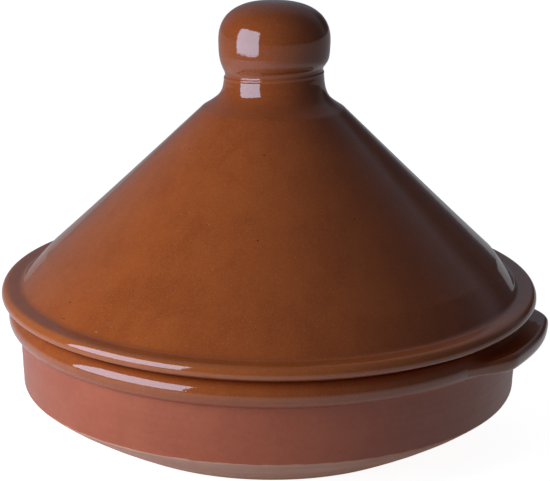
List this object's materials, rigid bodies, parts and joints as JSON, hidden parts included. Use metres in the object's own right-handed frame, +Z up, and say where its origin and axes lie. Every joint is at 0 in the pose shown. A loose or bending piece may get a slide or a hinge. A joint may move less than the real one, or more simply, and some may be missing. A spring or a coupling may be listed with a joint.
{
  "type": "tagine pot",
  "caption": "Round glazed earthenware cooking pot: a shallow dish with lug handles on its rolled rim, under a conical lid with a flange and a hollow knob.",
  "frame": {"origin": "middle of the dish's flat base, on the turning axis, at the surface that it stands on", "axes": "+Z up along the turning axis of dish and lid, +X out through the middle of one lug handle, -X through the other"},
  "size_m": [0.2946, 0.28, 0.2226],
  "materials": {
    "dish_clay": "thin satin wash over red earthenware, clear honey glaze on the rim and inside",
    "lug_glaze": "glossy clear honey glaze over red earthenware",
    "lid_glaze": "glossy clear honey glaze over red earthenware",
    "knob_glaze": "glossy clear honey glaze over red earthenware"
  },
  "bodies": {
    "dish": {"dish_body": "dish_clay", "lug_handle_right": "lug_glaze", "lug_handle_left": "lug_glaze"},
    "lid": {"lid_cone": "lid_glaze", "lid_knob": "knob_glaze"}
  },
  "joints": [
    {"name": "lid_lift", "type": "slide", "parent": "dish", "child": "lid", "axis": [0, 0, 1], "range_m": [0, 0.18]}
  ]
}
